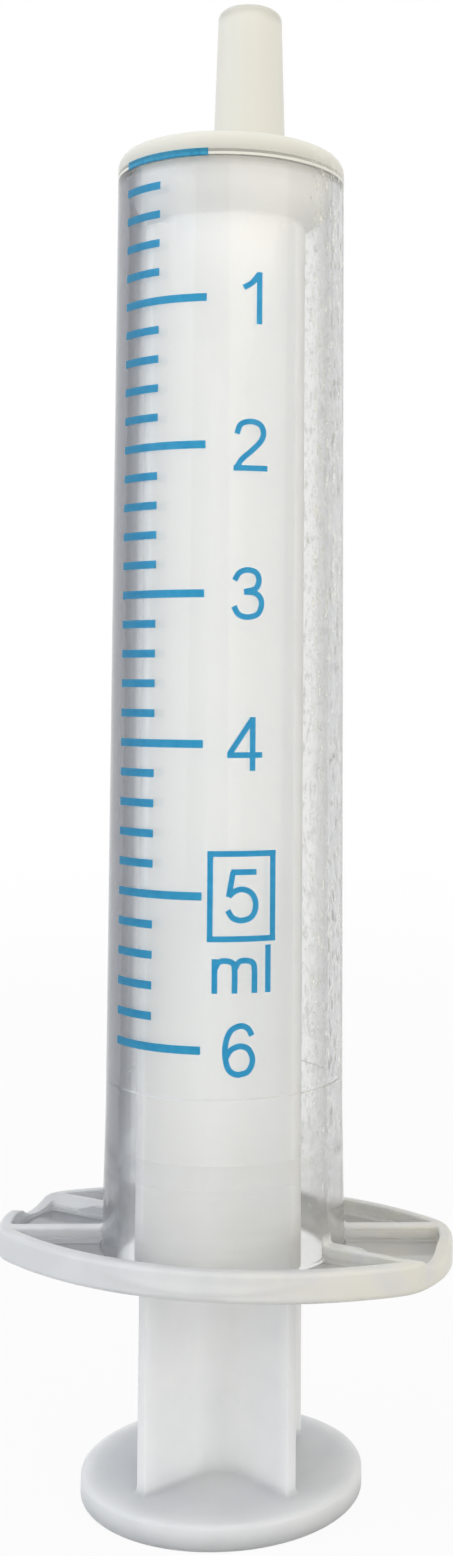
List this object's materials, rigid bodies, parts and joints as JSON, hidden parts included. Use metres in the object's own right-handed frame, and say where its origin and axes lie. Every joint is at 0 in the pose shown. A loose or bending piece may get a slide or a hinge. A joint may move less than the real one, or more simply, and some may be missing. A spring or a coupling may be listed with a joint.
{
  "type": "luer slip syringe",
  "caption": "Two-piece luer slip syringe: clear barrel with finger flange and off-centre nozzle, white plunger with cross stem and thumb disc.",
  "frame": {"origin": "middle of the thumb disc's underside, on the syringe's axis", "axes": "+Z along the axis from the thumb disc to the nozzle, X along the finger flange, the printed scale on the -Y side and the nozzle set off to +Y"},
  "size_m": [0.027, 0.0164, 0.0887],
  "materials": {
    "clear_polypropylene": "clear, slightly hazy moulded polypropylene",
    "white_polyethylene": "white translucent moulded polyethylene with a soft sheen",
    "blue_scale_ink": "printed ink film"
  },
  "bodies": {
    "barrel": {"barrel": "clear_polypropylene", "scale_print": "blue_scale_ink"},
    "plunger": {"plunger": "white_polyethylene"}
  },
  "joints": [
    {"name": "plunger_slide", "type": "slide", "parent": "barrel", "child": "plunger", "axis": [0, 0, -1], "range_m": [0, 0.0558]}
  ]
}
